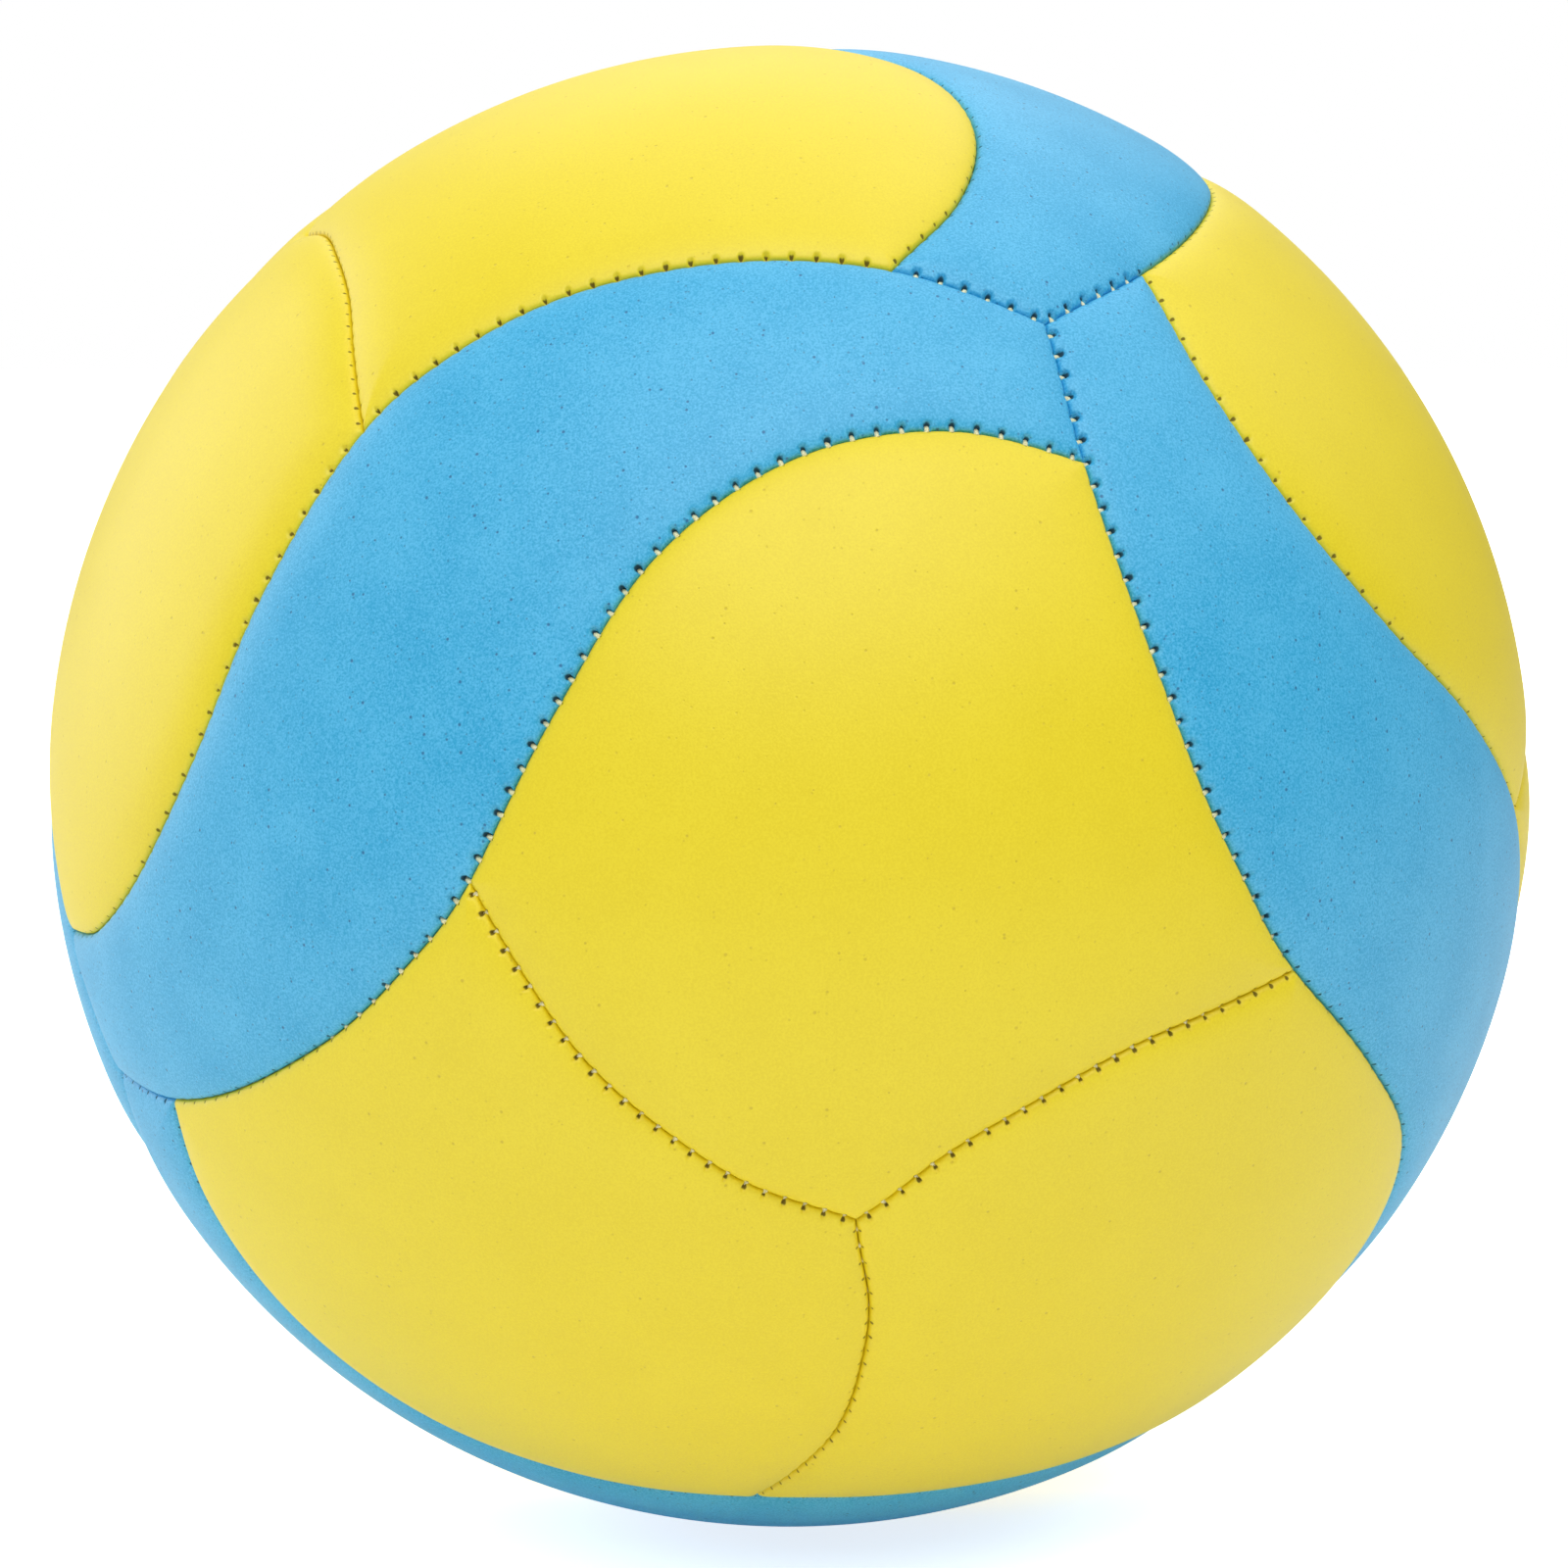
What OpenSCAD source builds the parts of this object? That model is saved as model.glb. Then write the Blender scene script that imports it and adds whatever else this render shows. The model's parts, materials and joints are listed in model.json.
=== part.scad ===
// Volleyball: eighteen sewn foam panels in a swirl, cloth linings, a rubber bladder and its valve.
// Sizes are in millimetres and angles in degrees. The origin is the centre of the ball.

/* [Ball] */
// Diameter over the crowns of the panels
ball_d = 200; // [160:1:240]

/* [Cover] */
// Thickness of the foam at the crown of a panel
foam_t = 6; // [4:0.5:10]
// Depth of the groove along each seam, below the crowns
groove_depth = 2.2; // [1:0.1:3]
// Width over which a panel rolls down to its seam
roll_w = 8; // [5:0.5:14]
// Thickness of the cloth lining bonded under each panel
lining_t = 0.5; // [0.3:0.1:1.5]

/* [Stitching] */
// Distance from stitch to stitch along a seam
stitch_pitch = 3.1; // [2:0.1:6]
// How far each end of a stitch enters the foam
stitch_bite = 0.5; // [0.3:0.1:1]
// Diameter of the sewing thread
thread_d = 0.7; // [0.5:0.1:1.4]

/* [Bladder and valve] */
// Wall of the rubber bladder
bladder_t = 0.6; // [0.4:0.1:2]
// Blue panel that the valve sits in
valve_panel = 6; // [1:1:6]
// Diameter of the valve neck that passes through the cover
neck_d = 8; // [7:0.5:12]
// Gap between the neck and the hole in the panel
neck_gap = 0.3; // [0.1:0.05:0.6]
// How far the neck stops below the crown of the panel
neck_sink = 0.6; // [0.2:0.1:1.5]
// Diameter of the flange bonded inside the bladder
flange_d = 26; // [18:1:36]
// Thickness of the flange
flange_t = 2; // [1:0.2:4]
// Diameter of the boss below the flange
boss_d = 12; // [10:0.5:16]
// Length of the boss below the flange
boss_l = 9; // [6:1:20]
// Diameter of the plug's shank in the boss
plug_d = 5; // [4:0.25:6]
// Diameter of the plug's head, inside the ball
head_d = 8; // [7:0.5:10]
// Thickness of the plug's head
head_t = 3; // [2:0.5:6]
// Diameter of the needle bore
needle_d = 2.4; // [2:0.1:3]
// Depth of the needle bore
needle_depth = 10; // [6:1:14]

/* [Hidden] */
// How the ball lies, as turns about X, Y and Z
ball_turn = [168.5, 15, 11.7];

// Radii of the layers, from the crown inwards
crown_r = ball_d / 2;
seam_r = crown_r - groove_depth;
foam_in_r = crown_r - foam_t;
lining_in_r = foam_in_r - lining_t;
bladder_in_r = lining_in_r - bladder_t;
flange_in_r = bladder_in_r - flange_t;
boss_end_z = flange_in_r - boss_l;
neck_top_r = crown_r - neck_sink;
// Stitches cross the groove at a share of its depth above the crease, from wall to wall,
// and stop short of the corners where seams meet
stitch_rise = 0.4;
stitch_r = seam_r + stitch_rise * groove_depth;
groove_half = roll_w * (1 - sqrt(1 - stitch_rise * stitch_rise));
stitch_l = 2 * (groove_half + stitch_bite);
stitch_end_gap = stitch_l / 2 + thread_d;

// The layout has the rotations of a tetrahedron. A blue panel is centred on +Z and runs along X.
// Three blue panels meet at a blue corner, and three yellow ones at a yellow corner.
corner_angle = atan(sqrt(2));
third_turn = 120;
blue_corner = [corner_angle, 0];
yellow_axis = direction([0, corner_angle]);

// Seam along one side of a blue panel, as longitude and latitude seen from the middle of the panel.
// It starts at a blue corner, passes the corner of a neighbour and ends on the next neighbour's side.
side_corner = [46, 8];
side_to_tee = [[36, 13.8], [24, 17.8], [14, 18.6]];
side_tee = [5, 17.3];
side_to_end = [[-8, 11.4], [-20, 5.7], [-32, 3.9], [-43, 6.2]];
side_end = lon_lat(turned(direction(side_corner), yellow_axis, -third_turn));
// Seam between two yellow panels, from the yellow corner down to the side of a blue panel
yellow_bends = [[5.1, 47.5], [7, 40], [7.5, 32.5], [6.4, 25]];

// Steps along a long and a short stretch of seam, and how much closer they lie at its ends
long_steps = 14;
short_steps = 4;
closing = 0.7;
// Parts that each step of a blue panel's short end is divided into
end_parts = 3;

// Faces round a sphere of a layer, and round a small round piece
layer_fn = 240;
small_fn = 48;
// Run-out of a cut past the faces that it goes through
past = 1;

function numbered(stem, i) = str(stem, i < 10 ? "0" : "", i);

// Unit vector of a longitude and latitude, and back
function direction(p) = [sin(p[0]) * cos(p[1]), sin(p[1]), cos(p[0]) * cos(p[1])];
function lon_lat(v) = [atan2(v[0], v[2]), asin(v[1])];
function unit(v) = v / norm(v);
// A vector turned about a unit axis
function turned(v, axis, a) =
    v * cos(a) + cross(axis, v) * sin(a) + axis * (axis * v) * (1 - cos(a));
function half_turned(v) = [-v[0], -v[1], v[2]];
function reversed(list) = [for (i = [len(list) - 1:-1:0]) list[i]];

// Smooth curve through control points, at a place counted in points along the list
function through(points, place) =
    let (last = len(points) - 1,
         i = min(floor(place), last - 1),
         t = place - i,
         b = points[i],
         c = points[i + 1],
         a = i > 0 ? points[i - 1] : 2 * b - c,
         d = i + 2 <= last ? points[i + 2] : 2 * c - b)
    (2 * b + (c - a) * t + (2 * a - 5 * b + 4 * c - d) * t * t
        + (3 * b - a - 3 * c + d) * t * t * t) / 2;

// Even shares from 0 to 1 that close up towards both ends
function share(i, steps) = i / steps - closing * sin(360 * i / steps) / (2 * PI);
// Unit vectors along a curve between two of its control points
function stretch(points, from, to, steps) =
    [for (i = [0:steps]) direction(through(points, from + (to - from) * share(i, steps)))];

side_points = concat([blue_corner, side_corner], side_to_tee, [side_tee], side_to_end, [side_end]);
tee_place = 2 + len(side_to_tee);
end_place = len(side_points) - 1;
yellow_points = concat([[0, corner_angle]], yellow_bends, [side_tee]);

// The three stretches of a blue side, and the yellow seam
corner_stretch = stretch(side_points, 0, 1, short_steps);
tee_stretch = stretch(side_points, 1, tee_place, long_steps);
end_stretch = stretch(side_points, tee_place, end_place, long_steps);
yellow_stretch = stretch(yellow_points, 0, len(yellow_points) - 1, long_steps);
blue_side = concat(corner_stretch, tail(tee_stretch), tail(end_stretch));

function tail(list) = [for (i = [1:len(list) - 1]) list[i]];
function third_turned(list) = [for (v = list) turned(v, yellow_axis, third_turn)];
function half_turned_list(list) = [for (v = list) half_turned(v)];

// Panels are patches between four curves: low and high run along, near and far run across
function patch(low, high, near, far, us, vs) =
    let (m = len(us) - 1)
    [for (i = [0:m]) [for (j = [0:len(vs) - 1])
        let (u = us[i],
             v = vs[j],
             sides = low[i] * (1 - v) + high[i] * v + near[j] * (1 - u) + far[j] * u,
             corners = (low[0] * (1 - v) + high[0] * v) * (1 - u)
                 + (low[m] * (1 - v) + high[m] * v) * u)
        unit(sides - corners)]];

long_shares = [for (i = [0:long_steps]) share(i, long_steps)];
short_shares = [for (i = [0:short_steps]) share(i, short_steps)];

// The short end of a blue panel, from its blue corner to the end of its long side
blue_end = divided(corner_turned(half_turned_list(corner_stretch)), end_parts);
function corner_turned(list) =
    let (axis = half_turned(direction(blue_corner)))
    [for (v = list) turned(v, axis, third_turn)];
// Points with each step between them divided into equal parts
function divided(list, parts) =
    concat([for (i = [0:len(list) - 2]) for (k = [0:parts - 1])
        list[i] + (list[i + 1] - list[i]) * k / parts], [list[len(list) - 1]]);

blue_along = len(blue_side) - 1;
blue_patch = patch(
    reversed(half_turned_list(blue_side)),
    blue_side,
    reversed(half_turned_list(blue_end)),
    blue_end,
    [for (i = [0:blue_along]) i / blue_along],
    divided(short_shares, end_parts)
);
yellow_patch = patch(
    yellow_stretch,
    third_turned(end_stretch),
    third_turned(yellow_stretch),
    reversed(tee_stretch),
    long_shares,
    long_shares
);

// Border of a patch, once round
function border(p) =
    let (m = len(p) - 1, n = len(p[0]) - 1)
    concat([for (i = [0:m - 1]) p[i][0]], [for (j = [0:n - 1]) p[m][j]],
        [for (i = [m:-1:1]) p[i][n]], [for (j = [n:-1:1]) p[0][j]]);
function segment_gap(p, a, b) =
    let (ab = b - a, t = max(0, min(1, (p - a) * ab / (ab * ab))))
    norm(p - a - t * ab);
function border_gap(p, edge) =
    min([for (i = [0:len(edge) - 1]) segment_gap(p, edge[i], edge[(i + 1) % len(edge)])]);
// Radius of the cover at a distance from the seam: a quarter ellipse up to the crown
function cover_r(gap) =
    let (t = 1 - min(1, gap / roll_w))
    crown_r - groove_depth * (1 - sqrt(1 - t * t));

// Solid from the centre of the ball out to the rolled and crowned face of one panel
module sector(p) {
    edge = border(p);
    m = len(p);
    n = len(p[0]);
    skin = [for (row = p) for (v = row) v * cover_r(crown_r * border_gap(v, edge))];
    grid = [for (i = [0:m - 2]) for (j = [0:n - 2])
        let (a = i * n + j, b = a + n)
        each [[a, b + 1, a + 1], [a, b, b + 1]]];
    loop = concat([for (i = [0:m - 2]) i * n], [for (j = [0:n - 2]) (m - 1) * n + j],
        [for (i = [m - 1:-1:1]) i * n + n - 1], [for (j = [n - 1:-1:1]) j]);
    walls = [for (i = [0:len(loop) - 1]) [m * n, loop[(i + 1) % len(loop)], loop[i]]];
    polyhedron(concat(skin, [[0, 0, 0]]), concat(grid, walls), convexity = 4);
}

module layer_ball(r) {
    sphere(r, $fn = layer_fn);
}

// One of the twelve rotations of the layout
module placed(i) {
    third = floor(i / 4);
    half = i % 4;
    half_axes = [[0, 0, 1], [1, 1, 0], [0, 0, 1], [1, -1, 0]];
    rotate(third_turn * third, yellow_axis)
        rotate(half == 0 ? 0 : 180, half_axes[half])
            children();
}

// The six places of a blue panel, on the ends of three axes
module placed_blue(i) {
    rotate(ball_turn)
        placed(4 * floor((i - 1) / 2) + (i - 1) % 2)
            children();
}

module placed_yellow(i) {
    rotate(ball_turn)
        placed(i - 1)
            children();
}

module valve_hole(d) {
    translate([0, 0, boss_end_z])
        cylinder(h = crown_r + past - boss_end_z, d = d, $fn = small_fn);
}

module foam(p, holed = false) {
    difference() {
        sector(p);
        layer_ball(foam_in_r);
        if (holed) valve_hole(neck_d + 2 * neck_gap);
    }
}

module lining(p, holed = false) {
    difference() {
        intersection() {
            sector(p);
            layer_ball(foam_in_r);
        }
        layer_ball(lining_in_r);
        if (holed) valve_hole(neck_d + 2 * neck_gap);
    }
}

module yellow_panel(i) {
    color([0.95, 0.87, 0.36])
        placed_yellow(i)
            foam(yellow_patch);
}

module blue_panel(i) {
    color([0.33, 0.71, 0.89])
        placed_blue(i)
            foam(blue_patch, i == valve_panel);
}

module yellow_lining(i) {
    color([0.9, 0.89, 0.85])
        placed_yellow(i)
            lining(yellow_patch);
}

module blue_lining(i) {
    color([0.9, 0.89, 0.85])
        placed_blue(i)
            lining(blue_patch, i == valve_panel);
}

// Stitches at an even pitch along one stretch of seam, each lying across the groove
module seam_stitches(points) {
    last = len(points) - 1;
    runs = [for (i = 0, run = 0; i <= last;
        run = run + (i < last ? seam_r * norm(points[i + 1] - points[i]) : 0), i = i + 1) run];
    places = [for (i = [0:last]) [runs[i], i]];
    sewn = runs[last] - 2 * stitch_end_gap;
    count = floor(sewn / stitch_pitch);
    for (k = [0:count]) {
        place = lookup(stitch_end_gap + k * sewn / count, places);
        i = min(floor(place), last - 1);
        out = unit(points[i] + (points[i + 1] - points[i]) * (place - i));
        run = points[i + 1] - points[i];
        tangent = unit(run - out * (run * out));
        across = cross(out, tangent);
        at = out * stitch_r;
        multmatrix([for (c = [0:2]) [out[c], tangent[c], across[c], at[c]]])
            cylinder(h = stitch_l, d = thread_d, center = true, $fn = small_fn);
    }
}

module stitching(i) {
    color([0.93, 0.9, 0.8])
        placed_yellow(i) {
            seam_stitches(blue_side);
            seam_stitches(yellow_stretch);
        }
}

module bladder() {
    color([0.12, 0.12, 0.13])
        placed_blue(valve_panel)
            difference() {
                layer_ball(lining_in_r);
                layer_ball(bladder_in_r);
                valve_hole(neck_d);
            }
}

// Flange and boss inside the bladder, and the neck that passes out through the cover
module valve_boss() {
    color([0.16, 0.16, 0.17])
        placed_blue(valve_panel)
            difference() {
                union() {
                    intersection() {
                        layer_ball(neck_top_r);
                        valve_hole(neck_d);
                    }
                    intersection() {
                        difference() {
                            layer_ball(bladder_in_r);
                            layer_ball(flange_in_r);
                        }
                        valve_hole(flange_d);
                    }
                    intersection() {
                        layer_ball(bladder_in_r);
                        valve_hole(boss_d);
                    }
                }
                translate([0, 0, -past])
                    valve_hole(plug_d);
            }
}

// Plug pushed into the boss from inside, with its head against the end of the boss
module valve_plug() {
    color([0.82, 0.8, 0.74])
        placed_blue(valve_panel)
            difference() {
                union() {
                    intersection() {
                        layer_ball(neck_top_r);
                        valve_hole(plug_d);
                    }
                    translate([0, 0, boss_end_z - head_t])
                        cylinder(h = head_t, d1 = plug_d, d2 = head_d, $fn = small_fn);
                }
                translate([0, 0, neck_top_r - needle_depth])
                    cylinder(h = needle_depth + past, d = needle_d, $fn = small_fn);
            }
}

for (i = [1:12]) yellow_panel(i);
for (i = [1:6]) blue_panel(i);
for (i = [1:12]) yellow_lining(i);
for (i = [1:6]) blue_lining(i);
for (i = [1:12]) stitching(i);
bladder();
valve_boss();
valve_plug();
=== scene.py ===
# %% [markdown]
# # A sewn foam volleyball
# The ball has twelve yellow and six long blue foam panels that swirl round each other. Under the foam lie
# cloth linings, a rubber bladder and a valve. The construction comes as a fixed frame of plain solids,
# and this lesson gives them their looks: crowned panels with rolled edges, needle holes and thread along
# every seam. Everything is in metres, in the frame of the solids, with the origin at the centre of the
# ball.

# %% Load the frame
import json
import math
import random

import bmesh
import bpy
import numpy as np
from mathutils import Matrix, Vector
from mathutils.kdtree import KDTree

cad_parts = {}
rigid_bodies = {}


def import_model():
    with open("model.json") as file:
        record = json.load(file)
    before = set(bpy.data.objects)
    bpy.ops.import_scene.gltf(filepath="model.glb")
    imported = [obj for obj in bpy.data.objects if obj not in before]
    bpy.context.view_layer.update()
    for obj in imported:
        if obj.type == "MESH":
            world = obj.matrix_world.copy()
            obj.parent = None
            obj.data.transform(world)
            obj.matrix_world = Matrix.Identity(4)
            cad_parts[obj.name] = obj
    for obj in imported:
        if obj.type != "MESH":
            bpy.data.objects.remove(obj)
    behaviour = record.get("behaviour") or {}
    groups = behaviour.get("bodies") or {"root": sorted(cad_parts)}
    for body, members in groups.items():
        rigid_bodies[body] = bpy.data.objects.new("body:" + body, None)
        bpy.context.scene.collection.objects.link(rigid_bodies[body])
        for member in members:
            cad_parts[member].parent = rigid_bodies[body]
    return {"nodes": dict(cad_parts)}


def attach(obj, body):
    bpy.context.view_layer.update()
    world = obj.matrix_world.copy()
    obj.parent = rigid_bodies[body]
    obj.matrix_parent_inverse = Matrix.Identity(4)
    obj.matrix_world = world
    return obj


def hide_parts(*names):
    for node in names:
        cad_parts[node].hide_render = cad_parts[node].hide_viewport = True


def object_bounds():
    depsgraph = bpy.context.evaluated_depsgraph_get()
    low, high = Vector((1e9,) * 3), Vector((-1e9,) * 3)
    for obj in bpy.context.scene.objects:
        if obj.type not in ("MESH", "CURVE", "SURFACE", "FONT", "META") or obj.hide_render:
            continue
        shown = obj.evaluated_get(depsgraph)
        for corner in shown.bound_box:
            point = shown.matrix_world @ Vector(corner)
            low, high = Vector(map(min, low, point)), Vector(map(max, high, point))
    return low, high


# A new file may hold objects of its own
for leftover in list(bpy.data.objects):
    bpy.data.objects.remove(leftover)
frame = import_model()


def plain_box():
    """The lowest and the highest corner of the ball, as plain numbers."""
    return [[float(value) for value in corner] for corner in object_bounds()]


cad_box = plain_box()
print("frame:", len(frame["nodes"]), "solids in a box of", cad_box)

# %% [markdown]
# ## Sizes
# A panel is a sheet of foam that swells to its crown and rolls down to its seam. The crown's radius could
# be typed in, but it is measured from the frame, so that the looks follow the solids. The foam's
# thickness and the depth of its rolled edge are sizes of a real panel. Smaller sizes come where they are
# first needed.

# %% Sizes of the cover
MM = 0.001
crown_r = (cad_box[1][0] - cad_box[0][0]) / 2
foam_t = 6 * MM
roll_depth = 1.5 * MM
fold_depth = 0.42 * MM
seam_r = crown_r - roll_depth - fold_depth
foam_in_r = crown_r - foam_t
print("crown radius", round(crown_r / MM, 2), "mm, seam radius", round(seam_r / MM, 2), "mm")

# %% [markdown]
# ## The layout of the seams
# The panels repeat by the twelve rotations of a tetrahedron, so only two seams have to be drawn: one
# along the side of a blue panel, and one between two yellow panels. Each is a smooth curve through a few
# points, given as longitude and latitude seen from the middle of a blue panel. A spline object could hold
# such a curve, but a formula can be asked for any point on it, and the panels and the stitches both need
# that.

# %% Control points of the two seams
corner_angle = math.degrees(math.atan(math.sqrt(2)))
blue_corner = (corner_angle, 0)
yellow_corner = (0, corner_angle)
side_corner = (46, 8)
side_tee = (5, 17.3)
side_to_tee = [(36, 13.8), (24, 17.8), (14, 18.6)]
side_to_end = [(-8, 11.4), (-20, 5.7), (-32, 3.9), (-43, 6.2)]
yellow_bends = [(5.1, 47.5), (7, 40), (7.5, 32.5), (6.4, 25)]


def direction(points):
    """Unit vectors towards longitudes and latitudes in degrees."""
    lon, lat = np.radians(np.asarray(points, float)).T
    return np.stack([np.sin(lon) * np.cos(lat), np.sin(lat), np.cos(lon) * np.cos(lat)], axis=-1)


def turn(degrees, axis):
    return np.array(Matrix.Rotation(math.radians(degrees), 3, Vector(axis)))


half_turn = turn(180, (0, 0, 1))
third_turn = turn(120, direction(yellow_corner))
corner_turn = turn(120, half_turn @ direction(blue_corner))
end_x, end_y, end_z = third_turn.T @ direction(side_corner)
side_end = (math.degrees(math.atan2(end_x, end_z)), math.degrees(math.asin(end_y)))
print("the blue side ends at longitude and latitude", np.round(side_end, 2))

# %% Seams as curves on the unit sphere
side_points = np.array([blue_corner, side_corner, *side_to_tee, side_tee, *side_to_end, side_end], float)
yellow_points = np.array([yellow_corner, *yellow_bends, side_tee], float)
corner_share = 1 / (len(side_points) - 1)
tee_share = (2 + len(side_to_tee)) / (len(side_points) - 1)


def through(points, share):
    """Directions on a smooth curve through control points, at shares of the way from 0 to 1."""
    spans = len(points) - 1
    place = np.asarray(share, float) * spans
    i = np.clip(np.floor(place).astype(int), 0, spans - 1)
    t = (place - i)[..., None]
    ends = np.vstack([2 * points[0] - points[1], points, 2 * points[-1] - points[-2]])
    a, b, c, d = (ends[i + k] for k in range(4))
    bend = (2 * a - 5 * b + 4 * c - d) * t**2 + (3 * b - a - 3 * c + d) * t**3
    return direction((2 * b + (c - a) * t + bend) / 2)


def blue_side(share):
    return through(side_points, share)


def yellow_seam(share):
    return through(yellow_points, share)


# %% Stretches of the blue side, and the lengths of the seams
seams = {"blue side": blue_side, "yellow seam": yellow_seam}
seam_steps = 4000
shares = np.linspace(0, 1, seam_steps + 1)


def corner_stretch(share):
    return blue_side(share * corner_share)


def tee_stretch(share):
    return blue_side(corner_share + share * (tee_share - corner_share))


def end_stretch(share):
    return blue_side(tee_share + share * (1 - tee_share))


def run_along(seam):
    """Distance from the start of a seam to each of its shares."""
    steps = np.linalg.norm(np.diff(seam(shares), axis=0), axis=1) * seam_r
    return np.concatenate([[0], np.cumsum(steps)])


for name, seam in seams.items():
    print(name, "is", round(run_along(seam)[-1] / MM, 1), "mm long")

# %% [markdown]
# ## Where the needle went through
# A seam is sewn at an even pitch that stops a little short of the corners. Between two yellow panels the
# stitches are closer and pull less than along a blue side. Stitches could be set by eye, one by one.
# Walking along a finely divided seam gives the place of each, and for any point of the seam its distance
# to the nearest stitch. The panels use that distance to sink the needle holes, and the thread uses the
# same places, so the two always agree.

# %% Even stitches along a seam
seam_end_gap = 1.6 * MM
stitch_pitch = {blue_side: 3.1 * MM, yellow_seam: 2.6 * MM}
stitch_pull = {blue_side: 1.0, yellow_seam: 0.6}


def stitch_runs(seam):
    """Distance run along the seam at each share, and the runs at which it is sewn."""
    runs = run_along(seam)
    count = int((runs[-1] - 2 * seam_end_gap) // stitch_pitch[seam])
    return runs, np.linspace(seam_end_gap, runs[-1] - seam_end_gap, count + 1)


def stitch_miss(seam, at):
    """How far along the seam each share is from its nearest stitch."""
    runs, sewn = stitch_runs(seam)
    here = np.interp(at, shares, runs)
    return np.abs(here[:, None] - sewn[None, :]).min(axis=1)


def joins_blue(seam, at):
    """Whether a seam lies between two blue panels, at each share."""
    return (at < corner_share) & (seam is blue_side)


for name, seam in seams.items():
    print(name, "has", len(stitch_runs(seam)[1]), "stitches")

# %% [markdown]
# ## A panel as a patch between four seams
# Each panel is a four-sided patch. A flat grid is laid between its four seams by blending them, and pushed
# out onto the ball. The sides of the grid then lie exactly on the seams, so neighbours meet edge to edge. A
# sculpted or shrink-wrapped sheet would leave slivers along the seams.


# %% The two patches
def patch(low, high, near, far, u, v):
    """Directions inside four curves: low and high run along u, near and far run along v."""
    u, v = u[:, None], v[:, None]
    a, b = u[:, 0], v[:, 0]
    sides = low(a) * (1 - v) + high(a) * v + near(b) * (1 - u) + far(b) * u
    zero, one = np.zeros(1), np.ones(1)
    corners = (low(zero) * (1 - v) + high(zero) * v) * (1 - u) + (low(one) * (1 - v) + high(one) * v) * u
    inside = sides - corners
    return inside / np.linalg.norm(inside, axis=1, keepdims=True)


yellow_edges = (
    yellow_seam,
    lambda u: end_stretch(u) @ third_turn.T,
    lambda v: yellow_seam(v) @ third_turn.T,
    lambda v: tee_stretch(1 - v),
)
blue_edges = (
    lambda u: blue_side(1 - u) @ half_turn.T,
    blue_side,
    lambda v: corner_stretch(1 - v) @ (half_turn @ corner_turn @ half_turn).T,
    lambda v: corner_stretch(v) @ (corner_turn @ half_turn).T,
)
ends = np.array([0.0, 1.0])
for name, (low, high, near, far) in (("yellow", yellow_edges), ("blue", blue_edges)):
    corners = [low(ends)[1] - far(ends)[0], high(ends)[1] - far(ends)[1], high(ends)[0] - near(ends)[1]]
    print(name, "patch closes at its corners to", np.abs(corners).max())

# %% [markdown]
# The distance from a point of the panel to its nearest seam decides almost everything: how far the foam
# has rolled down, and whether it is near a needle hole. Measuring to every piece of every seam would be
# slow, so points are strewn along the four seams for a search tree. Each of them remembers how far it is
# from a stitch and which way leads into the panel.

# %% Points along the seams of a panel
edge_samples = 1600
yellow_shape = {
    "edges": yellow_edges,
    "seams": (
        (yellow_seam, 0, 1), (blue_side, tee_share, 1),
        (yellow_seam, 0, 1), (blue_side, tee_share, corner_share),
    ),
    "faces": (120, 120),
    "lengths": (75 * MM, 75 * MM),
}
blue_shape = {
    "edges": blue_edges,
    "seams": (
        (blue_side, 1, 0), (blue_side, 0, 1),
        (blue_side, corner_share, 0), (blue_side, 0, corner_share),
    ),
    "faces": (280, 50),
    "lengths": (195 * MM, 35 * MM),
}


def seam_samples(shape):
    """Points along a patch's edges: place, way to a stitch, its pull, if it joins blue, and the way in."""
    rows = []
    t = np.linspace(0, 1, edge_samples)
    middle = sum(edge(t).mean(axis=0) for edge in shape["edges"])
    for edge, (seam, start, end) in zip(shape["edges"], shape["seams"]):
        points = edge(t)
        inward = np.cross(points, np.gradient(points, axis=0))
        inward /= np.linalg.norm(inward, axis=1, keepdims=True)
        inward *= np.sign((inward @ middle).sum())
        at = start + (end - start) * t
        pull = np.full(edge_samples, stitch_pull[seam])
        rows.append((points, stitch_miss(seam, at), pull, joins_blue(seam, at), inward))
    return [np.concatenate(parts) for parts in zip(*rows)]


for name, shape in (("yellow", yellow_shape), ("blue", blue_shape)):
    print(name, "panel has", len(seam_samples(shape)[0]), "seam points")

# %% [markdown]
# On this ball each stitch comes up out of the crease and goes down into one of the two panels: the one
# that lies farther from the middle of the ball's front, or of its back. There the thread has torn its
# hole open. In the other panel, along seams that run straight towards that middle, and where front and
# back meet, it was drawn so tight that only a prick is left. Where two blue panels meet, the holes stay
# open farther round the ball. So every point of a seam has a share, from 0 for a prick to 1 for an open
# hole. The holes could be chosen one by one, but a rule also dresses the side that nobody has
# photographed.

# %% Which side of a seam the needle went into
front_elevation = math.radians(10)
ball_front = Vector((0, -math.cos(front_elevation), math.sin(front_elevation)))
open_from, open_to = 0.45, 0.95
open_slope, blue_slope = 1.6, 3.2
blue_ahead = 0.25


def eased(x, low, high):
    """From 0 at low to 1 at high, smooth at both."""
    t = np.clip((x - low) / (high - low), 0, 1)
    return t * t * (3 - 2 * t)


def nearness(places, blues, front):
    """From 0 at the ball's outline to 1 in the middle of its front or back; blue joins count as nearer."""
    return np.abs(places @ np.array(front)) + blue_ahead * blues


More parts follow.
